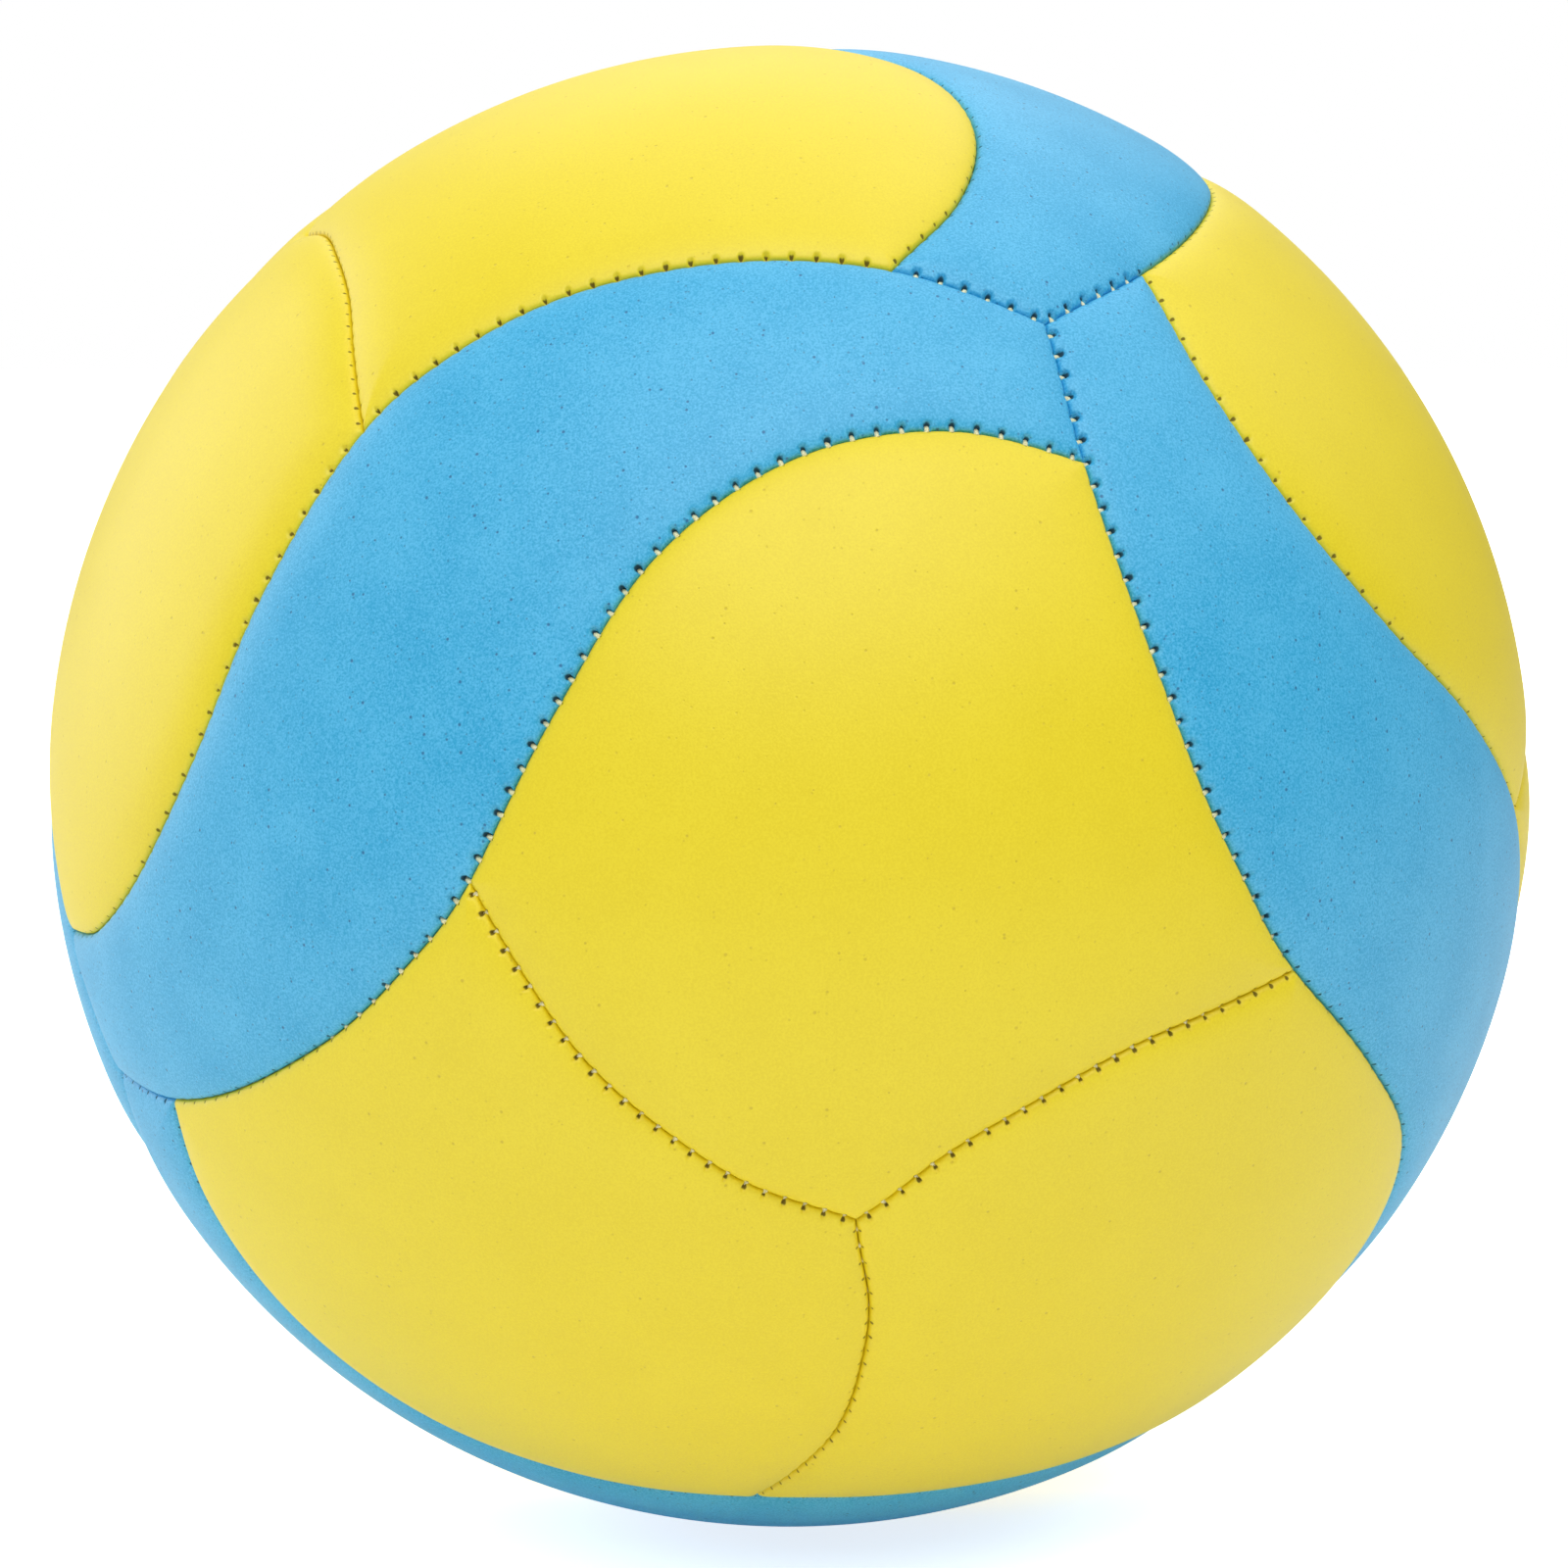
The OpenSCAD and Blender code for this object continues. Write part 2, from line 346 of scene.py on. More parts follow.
def needle_share(places, blues, inwards, front):
    """How open the needle holes of a panel are, with its inside lying inwards of a seam."""
    facing = places @ np.array(front)
    pole = np.sign(facing)[:, None] * np.array(front)
    towards = pole - places * np.abs(facing)[:, None]
    towards /= np.linalg.norm(towards, axis=1, keepdims=True)
    away = -np.einsum("ij,ij->i", inwards, towards)
    slope = np.where(blues, blue_slope, open_slope)
    return np.clip(slope * away, 0, 1) * eased(nearness(places, blues, front), open_from, open_to)


for words, share in (("open up to", open_to), ("closed from", open_from)):
    print("needle holes are", words, round(math.degrees(math.acos(share))), "degrees off the front")


# %% From a point of a panel to its seam
def seam_distances(places, shape, front):
    """For each direction of a panel, metres to its seam and along it to a stitch, and its hole's share."""
    samples, misses, pulls, blues, inwards = seam_samples(shape)
    tree = KDTree(len(samples))
    for i, sample in enumerate(samples):
        tree.insert(sample, i)
    tree.balance()
    found = [tree.find(place) for place in places]
    gap = np.array([distance for _, _, distance in found]) * crown_r
    nearest = [i for _, i, _ in found]
    share = pulls * needle_share(samples, blues, inwards, front)
    return gap, misses[nearest], share[nearest]


middle_gap = seam_distances(direction([(0, 0)]), blue_shape, ball_front)[0]
print("the middle of a blue panel lies", round(middle_gap[0] / MM, 1), "mm from its seam")

# %% [markdown]
# The rolled edge is the sum of two quarter ellipses: a wide shallow one that gives the crown, and a
# narrow one where the foam folds into the crease. Where the needle went in, the thread has pulled the
# fold into a notch with a hole at its end, and on the other panel it only tucks the edge down. Real dents
# in the mesh catch the light from every side, which painted dots would not; the foam's finish adds
# painted shade inside the holes as well.

# %% Height of the cover
roll_w, fold_w = 8 * MM, 0.5 * MM
tuck_reach, tuck_depth = 0.5 * MM, 0.2 * MM
notch_reach, notch_half = 0.9 * MM, 0.45 * MM
notch_floor, notch_fade = 1.9 * MM, 0.8 * MM
needle_reach, tight_reach = 0.68 * MM, 0.36 * MM
needle_r, tight_r = 0.36 * MM, 0.17 * MM
needle_depth = 0.6 * MM


def quarter(gap, width, depth):
    """How far a quarter ellipse lies below the crown, at a distance from the seam."""
    rolled = 1 - np.minimum(1, gap / width)
    return depth * (1 - np.sqrt(1 - rolled**2))


def bell(x):
    return np.exp(-(x**2))


def between(tight, wide, share):
    return tight + (wide - tight) * share


def cover_radius(gap, miss, share):
    """Radius of the foam's outer face, by the distances to a seam and along it to a stitch."""
    below = quarter(gap, roll_w, roll_depth) + quarter(gap, fold_w, fold_depth)
    below = below + tuck_depth * bell(miss / notch_half) * bell(gap / tuck_reach)
    notch_miss = miss + (1 - share) * notch_fade
    notch = bell((notch_miss / notch_half) ** 2) * bell((gap / notch_reach) ** 3)
    hole_r = between(tight_r, needle_r, share)
    hole = bell(miss / hole_r) * bell((gap - between(tight_reach, needle_reach, share)) / hole_r)
    below = below + notch * np.maximum(0, notch_floor - below) + needle_depth * share * hole
    return crown_r - below


probe = np.array([0, 0.5, 1, 2, 4, 9]) * MM
print("cover below the crown at 0, 0.5, 1, 2, 4 and 9 mm from a seam, in mm:")
print(np.round((crown_r - cover_radius(probe, np.full(6, roll_w), np.zeros(6))) / MM, 2))

# %% [markdown]
# ## Building a panel
# The outer face starts as a flat grid. Its rows beside the seams are cut finer, because a needle hole is
# less than a millimetre wide while the crown is smooth. The grid is then laid on the patch. A second,
# coarser grid makes the back of the foam, and bridging the two rims closes the panel into a solid. A
# Solidify modifier would give the foam its thickness too, but it would press every needle hole through to
# the back.

# %% Flat grids with finer rims
border_rows = 4
border_cuts = 2
back_ratio = 5
sewing_layers = ("seam_gap", "stitch_miss", "needle_share")


def flat_grid(along, across):
    """A grid over the unit square, ready to hold what the finish needs to know of each point."""
    bm = bmesh.new()
    for layer in sewing_layers:
        bm.verts.layers.float.new(layer)
    bmesh.ops.create_grid(bm, x_segments=along, y_segments=across, size=0.5)
    bmesh.ops.translate(bm, vec=(0.5, 0.5, 0), verts=bm.verts)
    return bm


def cut_rows(bm, along, across):
    """Divide the faces in the rows beside the rim."""
    u_rim, v_rim = border_rows / along, border_rows / across

    def beside_rim(face):
        x, y, _ = face.calc_center_median()
        return min(x, 1 - x) < u_rim or min(y, 1 - y) < v_rim

    edges = {e for f in bm.faces if beside_rim(f) for e in f.edges}
    bmesh.ops.subdivide_edges(bm, edges=list(edges), cuts=border_cuts, use_grid_fill=True)


def cut_rim(bm):
    """Divide only the rim of a coarse grid, so that it has as many points as a fine one."""
    rim = [e for e in bm.edges if e.is_boundary]
    bmesh.ops.subdivide_edges(bm, edges=rim, cuts=back_ratio * (border_cuts + 1) - 1)


trial = flat_grid(*yellow_shape["faces"])
plain_count = len(trial.faces)
cut_rows(trial, *yellow_shape["faces"])
print("the face of a yellow panel has", plain_count, "squares, and", len(trial.faces), "with its fine rim")
trial.free()

# %% Lay a grid on a patch
crease_half = 0.05 * MM


def squeezed(values, length):
    """Pull shares in from both ends, so that half a crease is left beside the rim."""
    inset = crease_half / length
    return inset + (1 - 2 * inset) * values


def lay(bm, shape, front, outside):
    """Move a flat grid onto a patch: crowned with its needle holes outside, plain on the back."""
    flat = np.array([v.co for v in bm.verts])
    u, v = (squeezed(flat[:, k], shape["lengths"][k]) for k in (0, 1))
    places = patch(*shape["edges"], u, v)
    gap, miss, share = seam_distances(places, shape, front)
    radius = cover_radius(gap, miss, share) if outside else np.full(len(places), foam_in_r)
    for vert, place, r in zip(bm.verts, places, radius):
        vert.co = Vector(place) * r
    for name, values in zip(sewing_layers, (gap / MM, miss / MM, share)):
        layer = bm.verts.layers.float[name]
        for vert, value in zip(bm.verts, values):
            vert[layer] = value


print("the crease between two panels is about", round(2 * crease_half / MM, 2), "mm wide at its bottom")


# %% A closed panel
def finish_mesh(bm, name):
    """Turn the faces outwards, smooth them and store the mesh."""
    bmesh.ops.recalc_face_normals(bm, faces=bm.faces)
    for face in bm.faces:
        face.smooth = True
    mesh = bpy.data.meshes.new(name)
    bm.to_mesh(mesh)
    triangles = sum(len(f.verts) - 2 for f in bm.faces)
    print(name, triangles, "triangles,", sum(not e.is_manifold for e in bm.edges), "open edges")
    bm.free()
    return mesh


def panel_bmesh(shape, front):
    """A closed panel about its own axis; front is the front of the ball as that panel sees it."""
    along, across = shape["faces"]
    back = flat_grid(along // back_ratio, across // back_ratio)
    cut_rim(back)
    lay(back, shape, front, outside=False)
    back_mesh = bpy.data.meshes.new("panel_back")
    back.to_mesh(back_mesh)
    back.free()
    bm = flat_grid(along, across)
    cut_rows(bm, along, across)
    lay(bm, shape, front, outside=True)
    bm.from_mesh(back_mesh)
    bpy.data.meshes.remove(back_mesh)
    bmesh.ops.bridge_loops(bm, edges=[e for e in bm.edges if e.is_boundary])
    return bm


# %% [markdown]
# ## The hole for the valve
# One blue panel lets the valve through. The faces round its middle are deleted, a true circle is bridged
# to the ragged rim on the front and on the back, and the two circles are bridged to make the wall of the
# hole. A small bevel rounds its lip. A boolean cut would do as well, but it leaves slivers that shade
# badly on a smooth crown.

# %% Pierce a panel
valve_hole_r = 4.3 * MM
valve_lip = 0.6 * MM
valve_margin = 1.2 * MM
valve_sides = 48
lip_segments = 4


def pierce(bm):
    """Cut the hole for the valve through the middle of a panel that is still about its own axis."""
    near = [f for f in bm.faces if any(v.co.xy.length < valve_hole_r + valve_margin for v in f.verts)]
    bmesh.ops.delete(bm, geom=near, context="FACES")
    rims = [e for e in bm.edges if e.is_boundary]
    middle_r = (crown_r + foam_in_r) / 2
    front_rim = [e for e in rims if e.verts[0].co.length > middle_r]
    back_rim = [e for e in rims if e.verts[0].co.length < middle_r]
    circles = []
    for rim, r in ((front_rim, crown_r), (back_rim, foam_in_r)):
        lift = Matrix.Translation((0, 0, math.sqrt(r**2 - valve_hole_r**2)))
        ring = bmesh.ops.create_circle(bm, segments=valve_sides, radius=valve_hole_r, matrix=lift)["verts"]
        for vert in ring:
            for layer in ("seam_gap", "stitch_miss"):
                vert[bm.verts.layers.float[layer]] = roll_w / MM
        circle = list({e for v in ring for e in v.link_edges})
        bmesh.ops.bridge_loops(bm, edges=rim + circle)
        circles.append(circle)
    bmesh.ops.bridge_loops(bm, edges=circles[0] + circles[1])
    bmesh.ops.bevel(bm, geom=circles[0], offset=valve_lip, affect="EDGES", segments=lip_segments,
                    profile=0.5, material=-1)
    print("valve hole of", round(2 * valve_hole_r / MM, 1), "mm")


# %% [markdown]
# ## Sewing thread
# The rims of a seam are drawn together by a waxed cream thread. Each stitch comes up out of the crease
# and dives into the wider of its two needle holes, or lies over the crease where neither was torn open.
# One long curve could be drawn through all the holes, but most of it would lie hidden. So a stitch is a
# small circle spun through part of a turn, with its ends closed: an arch of a few dozen faces. Copies of
# it stand along the seams, each turned and sunk a little differently, because no sewing machine pulls
# every stitch alike. A thread slips down where its seam is steep, and sinks out of sight where front and
# back of the ball meet.

# %% One stitch
thread_r = 0.36 * MM
thread_sides = 7
arch_r = 0.46 * MM
arch_depth = 1.75 * MM
arch_half = math.radians(75)
arch_steps = 6
merge_gap = thread_r / 100


def stitch_mesh():
    """An arch over the crease: X points across, Y along and Z out, from the crown."""
    bm = bmesh.new()
    stand = Matrix.Rotation(math.radians(90), 4, "Y")
    start = Matrix.Rotation(-arch_half, 4, "Y") @ Matrix.Translation((0, 0, arch_r)) @ stand
    bmesh.ops.create_circle(bm, cap_ends=True, segments=thread_sides, radius=thread_r, matrix=start)
    bmesh.ops.spin(bm, geom=bm.verts[:] + bm.edges[:] + bm.faces[:], axis=(0, 1, 0), cent=(0, 0, 0),
                   angle=2 * arch_half, steps=arch_steps, use_merge=False)
    bmesh.ops.translate(bm, vec=(0, 0, -arch_depth - arch_r), verts=bm.verts)
    bmesh.ops.remove_doubles(bm, verts=bm.verts, dist=merge_gap)
    return finish_mesh(bm, "stitch")


one_stitch = stitch_mesh()

# %% Stitches along the two seams
arch_shift = 0.2 * MM
thread_slip = 0.2 * MM
thread_play = 0.2 * MM
thread_lean = math.radians(12)
thread_rise = {blue_side: 0.35 * MM, yellow_seam: 0}
thread_sink = 0.8 * MM
sink_from, sink_to = 0.85, 0.65


def stitch_places(seam, front, up):
    """A matrix for each stitch of a seam: it reaches into the panel with the wider hole."""
    runs, sewn = stitch_runs(seam)
    play = random.Random(len(sewn))
    sewn_at = np.interp(sewn, runs, shares)
    outs = seam(sewn_at)
    alongs = seam(sewn_at + shares[1]) - seam(sewn_at - shares[1])
    alongs /= np.linalg.norm(alongs, axis=1, keepdims=True)
    acrosses = np.cross(alongs, outs)
    blues = joins_blue(seam, sewn_at)
    right = needle_share(outs, blues, acrosses, front)
    left = needle_share(outs, blues, -acrosses, front)
    side = np.where(right >= left, 1, -1)[:, None]
    shares_open = stitch_pull[seam] * np.maximum(right, left)
    sinks = thread_sink * (1 - eased(nearness(outs, blues, front), sink_to, sink_from))
    places = []
    for out, along, across, share, sink in zip(outs, alongs * side, acrosses * side, shares_open, sinks):
        turned = Matrix((across, along, out)).transposed().to_4x4()
        lean = Matrix.Rotation(play.uniform(-thread_lean, thread_lean), 4, "Z")
        depth = sink + play.uniform(0, thread_play) - thread_rise[seam] * (1 - share)
        slip = along * (along @ np.array(up)) * thread_slip
        middle = out * (crown_r - depth) + across * arch_shift * share - slip
        places.append(Matrix.Translation(middle) @ turned @ lean)
    return places


def thread_mesh(name, front, up):
    """All the stitches of one blue side and one yellow seam."""
    bm = bmesh.new()
    for seam in seams.values():
        for place in stitch_places(seam, front, up):
            before = len(bm.verts)
            bm.from_mesh(one_stitch)
            bm.verts.ensure_lookup_table()
            bmesh.ops.transform(bm, matrix=place, verts=bm.verts[before:])
    return finish_mesh(bm, name)


print("each thread has", sum(len(stitch_runs(seam)[1]) for seam in seams.values()), "stitches")

# %% [markdown]
# ## Shader expressions
# A finish is mostly arithmetic on a few patterns. Wiring a Math node for every sum hides the idea, so a
# small class wraps a socket and turns Python's operators into Math nodes. Every other node comes from one
# method.


# %% A socket that can be calculated with
class Shade:
    """One output of a shader node; arithmetic on it adds Math nodes."""

    def __init__(self, tree, socket=None):
        self.tree = tree
        self.socket = socket

    def node(self, kind, inputs=(), output=0, **settings):
        """Add any node: its settings first, then the values or links of its sockets."""
        made = self.tree.nodes.new(kind)
        for name, value in settings.items():
            setattr(made, name, value)
        for name, value in dict(inputs).items():
            if isinstance(value, Shade):
                self.tree.links.new(value.socket, made.inputs[name])
            else:
                made.inputs[name].default_value = value
        return Shade(self.tree, made.outputs[output])

    def math(self, operation, a, b):
        return self.node("ShaderNodeMath", {0: a, 1: b}, operation=operation)

    def __add__(self, other):
        return self.math("ADD", self, other)

    def __radd__(self, other):
        return self.math("ADD", other, self)

    def __sub__(self, other):
        return self.math("SUBTRACT", self, other)

    def __rsub__(self, other):
        return self.math("SUBTRACT", other, self)

    def __mul__(self, other):
        return self.math("MULTIPLY", self, other)

    def __rmul__(self, other):
        return self.math("MULTIPLY", other, self)

    def __truediv__(self, other):
        return self.math("DIVIDE", self, other)

    def __rtruediv__(self, other):
        return self.math("DIVIDE", other, self)

    def smooth(self, low, high):
        """From 0 at low to 1 at high, eased at both."""
        span = {"Value": self, "From Min": low, "From Max": high}
        return self.node("ShaderNodeMapRange", span, interpolation_type="SMOOTHSTEP")

    def mixed(self, a, b):
        """From colour a to colour b by this value."""
        return self.node("ShaderNodeMix", {0: self, 6: a, 7: b}, output=2, data_type="RGBA")


# %% Colours, new materials and their common nodes
def colour(red, green, blue):
    """A colour as a screen shows it, from 0 to 255, made linear for the shader."""
    parts = [c / 255 for c in (red, green, blue)]
    return tuple(c / 12.92 if c <= 0.04045 else ((c + 0.055) / 1.055) ** 2.4 for c in parts) + (1.0,)


def new_material(name):
    """A material, the start of its expressions, and its main shader."""
    material = bpy.data.materials.new(name)
    material.use_nodes = True
    shader = material.node_tree.nodes["Principled BSDF"]
    return material, Shade(material.node_tree), shader


def on_object(start):
    """Places in metres, in the shared frame."""
    return start.node("ShaderNodeTexCoord", output="Object")


def feed(shader, socket, value):
    """Link an expression to one socket of a shader."""
    value.tree.links.new(value.socket, shader.inputs[socket])


def noise(where, scale, detail):
    return where.node("ShaderNodeTexNoise", {"Vector": where, "Scale": scale, "Detail": detail})


def feed_bump(shader, height, depth, strength):
    """Let a pattern raise and lower the surface, by up to a depth in metres."""
    bump = {"Height": height, "Distance": depth, "Strength": strength}
    feed(shader, "Normal", height.node("ShaderNodeBump", bump, output="Normal"))


print("screen yellow is", [round(c, 3) for c in colour(240, 222, 60)], "in linear light")

# %% [markdown]
# ## Foam
# The cover is a closed-cell foam with a skin: satin, finely grained, and pricked with pores. A picture of
# foam could be wrapped round the panels, but it would stretch at the seams and blur close up, where a
# pattern in metres does neither. The pores come from a cell pattern whose cells each have their own size
# of pore, most of them too small to see. The grain is fine noise, in the colour and as a bump. The needle
# holes are painted dark inside, as painted shade, which follows the distances that were stored on the mesh.

# %% Pores and needle holes
wide_pores = {"scale": 650, "radius": 0.16}
fine_pores = {"scale": 1100, "radius": 0.22}
least_pore = 0.0001
pore_rim = (0.5, 1.2)
hole_rim = (0.6, 1.4)
least_hole, hole_play = 0.6, 0.8
ragged_scale = 300


def pores(where, pore_share, scale, radius):
    """Round pits in a share of the cells of a pattern, each with a size of its own."""
    cell = {"Vector": where, "Scale": scale}
    distance = where.node("ShaderNodeTexVoronoi", cell, output="Distance")
    tint = where.node("ShaderNodeTexVoronoi", cell, output="Color")
    chance = where.node("ShaderNodeSeparateColor", {"Color": tint}, output="Red")
    size = radius * chance.smooth(1 - pore_share, 1) + least_pore
    return 1 - (distance / size).smooth(*pore_rim)


def needle_holes(where, gap, miss, share):
    """From 1 inside a needle hole to 0 outside, with holes that differ a little in size."""
    ragged = least_hole + hole_play * noise(where, ragged_scale, detail=0)
    hole_r = between(tight_r / MM, needle_r / MM, share) * ragged
    hole_gap = (gap - between(tight_reach / MM, needle_reach / MM, share)) / hole_r
    hole_miss = miss / hole_r
    return 1 - (hole_gap * hole_gap + hole_miss * hole_miss).smooth(*hole_rim)


print("foam pores in cells of", round(1 / wide_pores["scale"] / MM, 1), "and",
      round(1 / fine_pores["scale"] / MM, 1), "mm")

# %% Foam finish
grain_scale, cloud_scale = 3600, 90
cloud_weight = 0.25
grain_range = (0.3, 0.7)
fine_pore_weight, pore_strength = 0.6, 0.75
# How strongly shade is painted into the needle holes: a prick, and more as a hole is torn open.
prick_shade_strength, tear_shade_strength = 0.8, 0.15
skin_roughness, grain_roughness, hole_roughness = 0.42, 0.14, 0.4
grain_height = 0.4
foam_gloss = 0.7


def foam_material(name, skin, shade, pore, hole_shade, pore_share):
    """Skin and shade tone the grain and pore the pores; the last is painted shade in the needle holes."""
    material, start, shader = new_material(name)
    where = on_object(start)
    gap, miss, share = (
        start.node("ShaderNodeAttribute", output="Fac", attribute_name=layer) for layer in sewing_layers)
    grain = noise(where, grain_scale, detail=2)
    cloud = noise(where, cloud_scale, detail=2)
    wide = pores(where, pore_share, **wide_pores)
    pits = start.math("MAXIMUM", wide, fine_pore_weight * pores(where, pore_share, **fine_pores))
    hole = needle_holes(where, gap, miss, share)

    body = (grain + cloud_weight * (cloud - 0.5)).smooth(*grain_range)
    tinted = body.mixed(shade, skin)
    pricked = (pits * pore_strength).mixed(tinted, pore)
    # Painted shade: the needle holes are darkened to a dark colour, more where a hole is torn open.
    hole_shaded = (hole * (prick_shade_strength + tear_shade_strength * share)).mixed(pricked, hole_shade)
    feed(shader, "Base Color", hole_shaded)
    feed(shader, "Roughness", skin_roughness + grain_roughness * grain + hole_roughness * hole)
    feed_bump(shader, grain_height * grain - pits, depth=0.08 * MM, strength=0.6)
    shader.inputs["Specular IOR Level"].default_value = foam_gloss
    return material


# The last colour of each foam is painted shade inside its needle holes.
yellow_foam = foam_material(
    "yellow_foam_skin", skin=colour(242, 221, 28), shade=colour(236, 213, 10), pore=colour(212, 184, 14),
    hole_shade=colour(98, 78, 4), pore_share=0.25)
blue_foam = foam_material(
    "blue_foam_skin", skin=colour(84, 191, 236), shade=colour(26, 163, 214), pore=colour(0, 78, 140),
    hole_shade=colour(4, 52, 70), pore_share=0.8)
print("foam finishes:", yellow_foam.name, blue_foam.name)

# %% [markdown]
# ## Thread, cloth and rubber
# The thread is cream polyester, with a fine twist that shows as streaks. Inside the ball, the linings are
# an undyed woven cloth, the bladder is black rubber with a bloom of talc, and the plug of the valve is
# pale rubber. Plain colours would do while the ball is whole, because nobody sees the inside. Patterns
# like those of the foam also hold in a cut-away or an exploded view.

# %% Thread finish
strand_scale = 6000
thread_roughness, strand_roughness = 0.5, 0.2


def thread_material(dark, pale):
    """Cream thread with streaks of fine noise."""
    material, start, shader = new_material("sewing_thread")
    strands = noise(on_object(start), strand_scale, detail=2)
    feed(shader, "Base Color", strands.smooth(*grain_range).mixed(dark, pale))
    feed(shader, "Roughness", thread_roughness + strand_roughness * strands)
    feed_bump(shader, strands, depth=0.05 * MM, strength=0.6)
    return material


sewing_thread = thread_material(dark=colour(222, 215, 158), pale=colour(254, 250, 212))
print("thread finish:", sewing_thread.name)

# %% Cloth finish
cloth_roughness, yarn_polish = 0.95, 0.15


def cloth_material(dark, pale):
    """Plain weave, as sets of waves at right angles round the ball."""
    material, start, shader = new_material("lining_cloth")
    wave = {"Vector": on_object(start), "Scale": 320.0, "Distortion": 0.6, "Detail": 1.0}
    x_yarns, y_yarns, z_yarns = (
        start.node("ShaderNodeTexWave", wave, output="Fac", bands_direction=axis) for axis in "XYZ")
    weave = start.math("MAXIMUM", x_yarns, start.math("MAXIMUM", y_yarns, z_yarns))
    feed(shader, "Base Color", weave.mixed(dark, pale))
    feed(shader, "Roughness", cloth_roughness - yarn_polish * weave)
    feed_bump(shader, weave, depth=0.1 * MM, strength=0.6)
    return material


lining_cloth = cloth_material(dark=colour(196, 190, 176), pale=colour(236, 232, 220))
print("cloth finish:", lining_cloth.name)

# %% Rubber finishes
bloom_scale, matt_scale = 60, 1800
bloom_weight, bloom_roughness = 0.6, 0.25
bloom_range = (0.35, 0.75)


def rubber_material(name, dark, pale, roughness):
    """Moulded rubber with a patchy bloom and a fine matt grain."""
    material, start, shader = new_material(name)
    where = on_object(start)
    bloom = noise(where, bloom_scale, detail=5)
    grain = noise(where, matt_scale, detail=2)
    patches = bloom_weight * bloom + (1 - bloom_weight) * grain
    feed(shader, "Base Color", patches.smooth(*bloom_range).mixed(dark, pale))
    feed(shader, "Roughness", roughness + bloom_roughness * (bloom - 0.5))
    feed_bump(shader, grain, depth=0.04 * MM, strength=0.5)
    return material


bladder_rubber = rubber_material("bladder_rubber", colour(28, 28, 30), colour(62, 62, 64), roughness=0.6)
valve_rubber = rubber_material("valve_rubber", colour(30, 30, 32), colour(52, 52, 54), roughness=0.55)
plug_rubber = rubber_material("plug_rubber", colour(206, 200, 182), colour(226, 222, 208), roughness=0.5)
print("rubber finishes:", bladder_rubber.name, valve_rubber.name, plug_rubber.name)

# %% [markdown]
# ## Sewing the ball together
# The rotations of the layout give the places of the panels, and the ball as a whole is turned as it lies
# in the photograph. Each panel is built about its own middle and then turned to its place, and not copied
# from a finished one, because its needle holes depend on where it ends up. The turn goes into the mesh,
# so every object sits at the origin. A piece stands for its solid in the frame, rides on the same body
# and carries its finish.

# %% Places of the panels
ball_turn = Matrix.Identity(3)
for axis, degrees in (("Z", 11.7), ("Y", 15), ("X", 168.5)):
    ball_turn = ball_turn @ Matrix.Rotation(math.radians(degrees), 3, axis)
flips = [Matrix.Identity(3)]
for axis in ((1, 1, 0), (0, 0, 1), (1, -1, 0)):
    flips.append(Matrix.Rotation(math.pi, 3, Vector(axis)))


def placed(i):
    """One of the twelve rotations: no flip or one of three, after a number of thirds of a turn."""
    third = Matrix.Rotation(math.radians(120) * (i // 4), 3, Vector(direction(yellow_corner)))
    return (ball_turn @ third @ flips[i % 4]).to_4x4()


yellow_places = [placed(i) for i in range(12)]
blue_places = [placed(i) for i in range(12) if i % 4 < 2]
valve_panel = 6
valve_way = blue_places[valve_panel - 1] @ Vector((0, 0, 1))
print("the valve points along", [round(part, 2) for part in valve_way])


# %% Yellow panels and thread
def add_piece(mesh, place, material, node):
    """Turn a mesh to its place and let it stand for a solid of the frame."""
    mesh.transform(place)
    mesh.materials.append(material)
    piece = bpy.data.objects.new(mesh.name, mesh)
    bpy.context.scene.collection.objects.link(piece)
    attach(piece, "root")
    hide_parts(node)
    return piece


def own_view(place):
    """The ball's front and the way up, as a piece sees them before it is turned to its place."""
    home = place.to_3x3().inverted()
    return home @ ball_front, home @ Vector((0, 0, 1))


for number, place in enumerate(yellow_places, 1):
    label = f"{number:02d}"
    front, up = own_view(place)
    mesh = finish_mesh(panel_bmesh(yellow_shape, front), "yellow_foam_" + label)
    panel = add_piece(mesh, place, yellow_foam, "yellow_panel_" + label)
    mesh = thread_mesh("seam_thread_" + label, front, up)
    add_piece(mesh, place, sewing_thread, "stitching_" + label)

# %% Blue panels, one with the hole for the valve
for number, place in enumerate(blue_places, 1):
    label = str(number)
    front, up = own_view(place)
    bm = panel_bmesh(blue_shape, front)
    if number == valve_panel:
        pierce(bm)
    mesh = finish_mesh(bm, "blue_foam_" + label)
    panel = add_piece(mesh, place, blue_foam, "blue_panel_" + label)

# %% Finishes of the solids that stay
inner_finishes = {"bladder": bladder_rubber, "valve_boss": valve_rubber, "valve_plug": plug_rubber}
finished = 0
for name, solid in frame["nodes"].items():
    finish = lining_cloth if "lining" in name else inner_finishes.get(name)
    if finish:
        solid.data.materials.clear()
        solid.data.materials.append(finish)
        finished += 1
print(finished, "inner solids keep their shape and take a new finish")

# %% [markdown]
# ## Floor and light
# The ball lies on a plain white board in a dark studio. The board throws light back up at the ball's
# underside. Board and backdrop are white to the camera only, as in a product picture: a room that really
# shone so brightly would wash out the rim of the ball. The board keeps a faint shadow.

# %% Floor
floor_glow = 0.75
floor_half = 1.4
floor_z = plain_box()[0][2]
black, white = (0, 0, 0, 1), (1, 1, 1, 1)

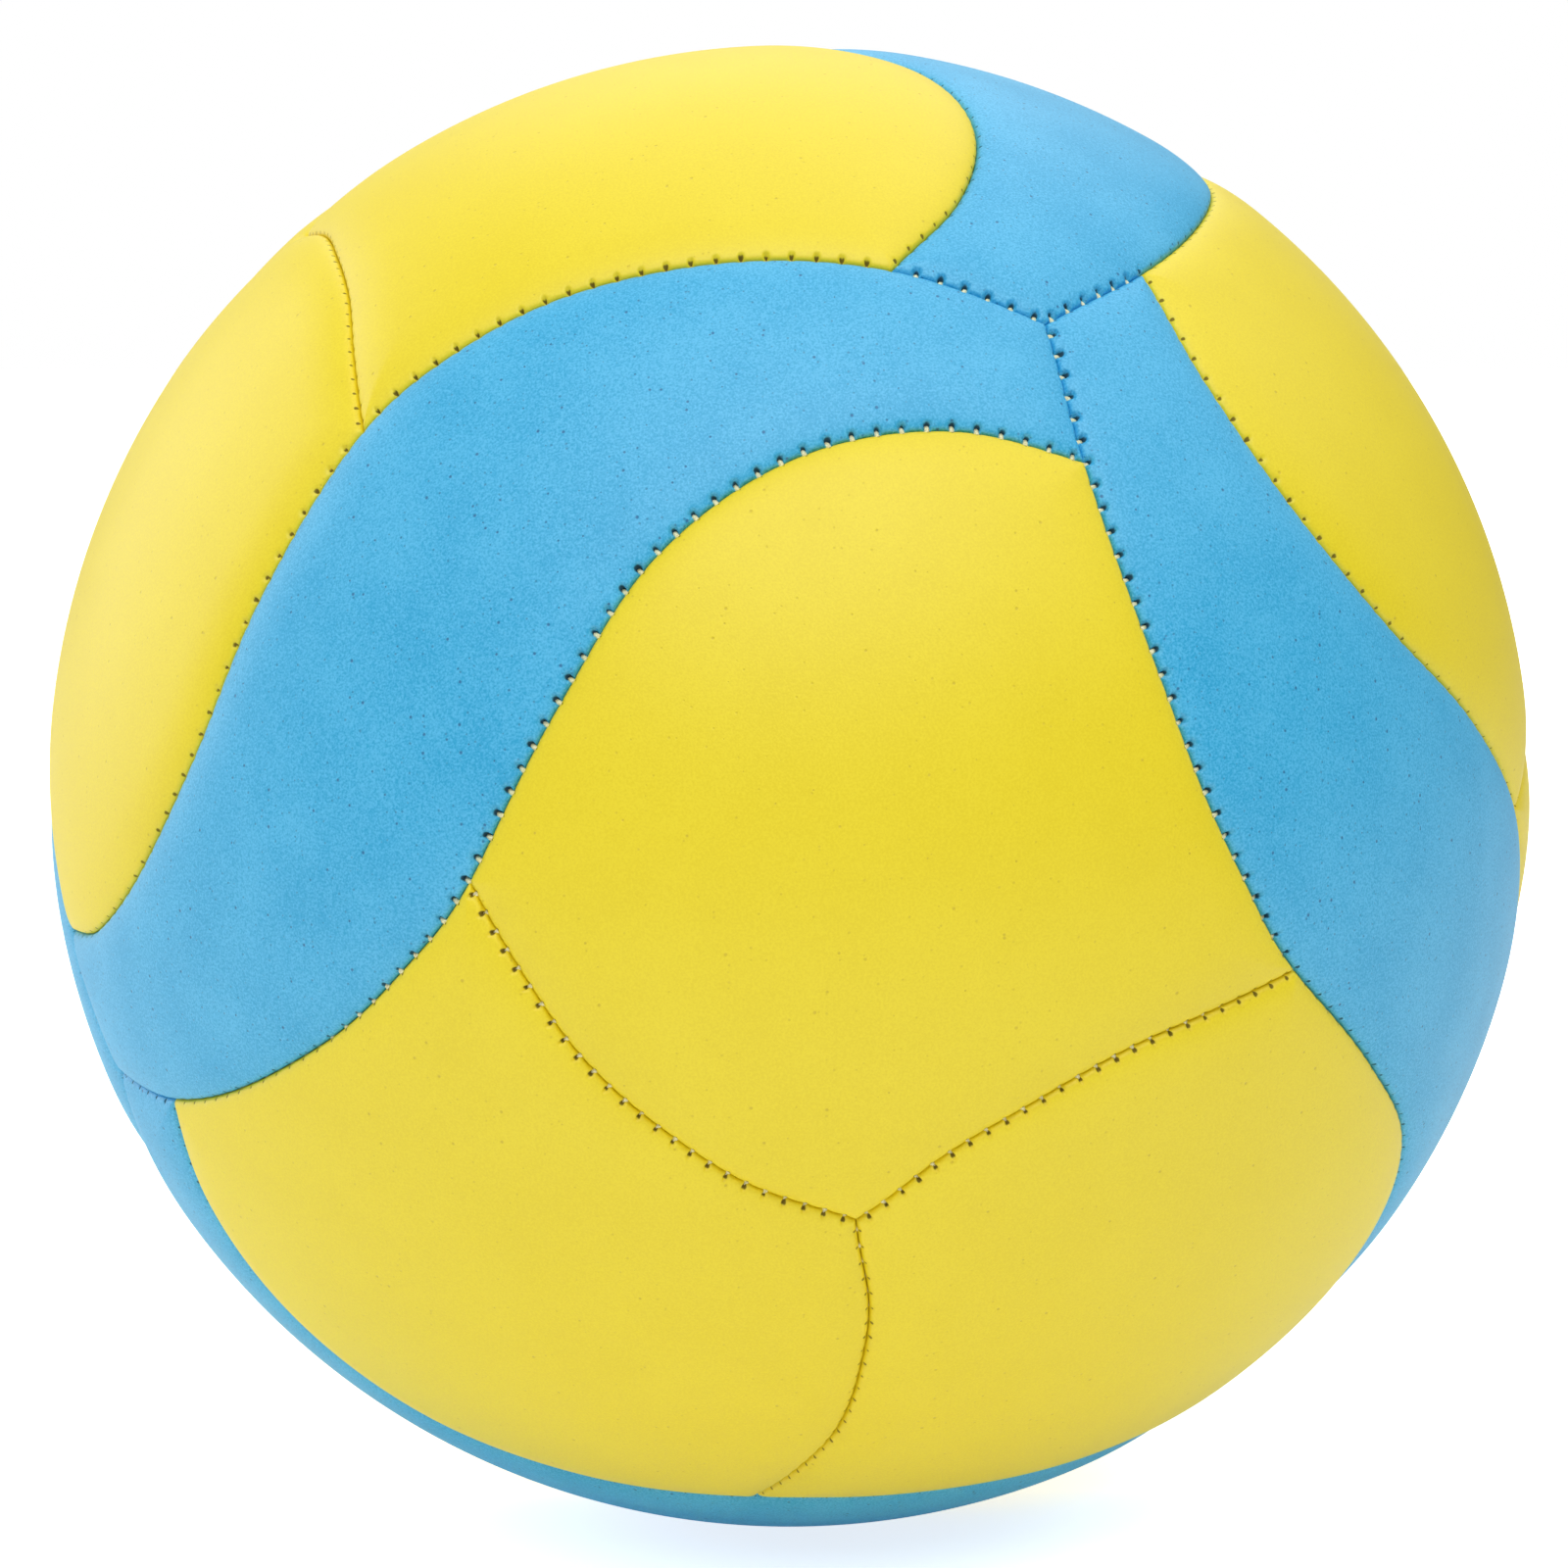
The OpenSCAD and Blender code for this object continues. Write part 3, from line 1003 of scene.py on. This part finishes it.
floor_material, start, shader = new_material("pale_floor")
shader.inputs["Base Color"].default_value = colour(250, 250, 250)
shader.inputs["Roughness"].default_value = 0.9
shader.inputs["Specular IOR Level"].default_value = 0.0
shader.inputs["Emission Strength"].default_value = 1.0
camera_ray = start.node("ShaderNodeLightPath", output="Is Camera Ray")
feed(shader, "Emission Color", (camera_ray * floor_glow).mixed(black, white))

bm = bmesh.new()
bmesh.ops.create_grid(bm, x_segments=1, y_segments=1, size=floor_half)
bmesh.ops.translate(bm, vec=(0, 0, floor_z), verts=bm.verts)
floor_mesh = bpy.data.meshes.new("floor")
bm.to_mesh(floor_mesh)
bm.free()
floor_mesh.materials.append(floor_material)
floor = bpy.data.objects.new("floor", floor_mesh)
bpy.context.scene.collection.objects.link(floor)
print("floor at", round(floor_z / MM, 2), "mm")

# %% Room
world = bpy.data.worlds.new("dark_room")
world.use_nodes = True
bpy.context.scene.world = world
start = Shade(world.node_tree)
background = world.node_tree.nodes["Background"]
background.inputs["Color"].default_value = white
feed(background, "Strength", start.node("ShaderNodeLightPath", output="Is Camera Ray"))
print("room:", world.name)

# %% [markdown]
# The light comes from a tent of equal round softboxes, all aimed at the ball from the same distance. Only
# their power differs: most comes from above in front, and a good deal from behind and low from the left,
# where it makes the pale sheen on the top and on the left rim. One more box lies flat on the board and
# shines up, as a light table does, and fills the underside of the ball. A picture of a studio as the
# world would light the ball too, but its lights could not be set one by one. The boxes themselves stay
# out of the picture.

# %% Softboxes, by the degrees they stand round from the front and up, and their watts
box_distance = 1.3
box_size = 1.3
table_watts = 0.5
table_lift = 0.5 * MM
softboxes = {
    "top": (0, 90, 1.8),
    "front": (0, 50, 10.6),
    "front_right": (60, 50, 3.7),
    "back_right": (120, 50, 3.2),
    "back": (180, 50, 4.6),
    "front_left": (300, 50, 2.0),
    "low_back_right": (120, 15, 1.2),
    "low_back": (180, 15, 2.8),
    "low_back_left": (240, 15, 8.8),
    "low_front_left": (300, 15, 1.4),
}


def add_softbox(name, place, aim, watts):
    """A round lamp that the camera doesn't see, shining the way it aims."""
    lamp = bpy.data.lights.new(name + "_softbox", "AREA")
    lamp.shape = "DISK"
    lamp.size = box_size
    lamp.energy = watts
    box = bpy.data.objects.new(lamp.name, lamp)
    bpy.context.scene.collection.objects.link(box)
    box.location = place
    box.rotation_euler = aim.to_track_quat("-Z", "Y").to_euler()
    box.visible_camera = False


for name, (round_from_front, up_from_floor, watts) in softboxes.items():
    a, b = math.radians(round_from_front), math.radians(up_from_floor)
    place = box_distance * Vector((math.sin(a) * math.cos(b), -math.cos(a) * math.cos(b), math.sin(b)))
    add_softbox(name, place, -place, watts)
add_softbox("table", Vector((0, 0, floor_z + table_lift)), Vector((0, 0, 1)), table_watts)
all_watts = table_watts + sum(watts for _, _, watts in softboxes.values())
print(len(softboxes) + 1, "softboxes with", round(all_watts, 1), "watts")

# %% [markdown]
# ## Camera
# The photograph was taken a little from above, straight at the ball's front, from about nine ball radii
# away with a long lens. The ball fills the frame, a few pixels off its middle. Turning the camera would
# put it there too, but a small shift of the lens leaves the view of the ball as it is.

# %% Camera
photo_px = 1600
focal_px = 6708
ball_px = (805.4, 801.9)
view_distance = 8.93 * crown_r
sensor = 36

lens = bpy.data.cameras.new("photo_lens")
lens.sensor_width = sensor
lens.lens = sensor * focal_px / photo_px
lens.shift_x = (photo_px / 2 - ball_px[0]) / photo_px
lens.shift_y = (ball_px[1] - photo_px / 2) / photo_px
camera = bpy.data.objects.new("photo_camera", lens)
bpy.context.scene.collection.objects.link(camera)
camera.location = view_distance * ball_front
camera.rotation_euler = (-camera.location).to_track_quat("-Z", "Y").to_euler()
bpy.context.scene.camera = camera
bpy.context.scene.view_settings.view_transform = "Standard"
print("lens", round(lens.lens, 1), "mm at", round(view_distance, 3), "m")
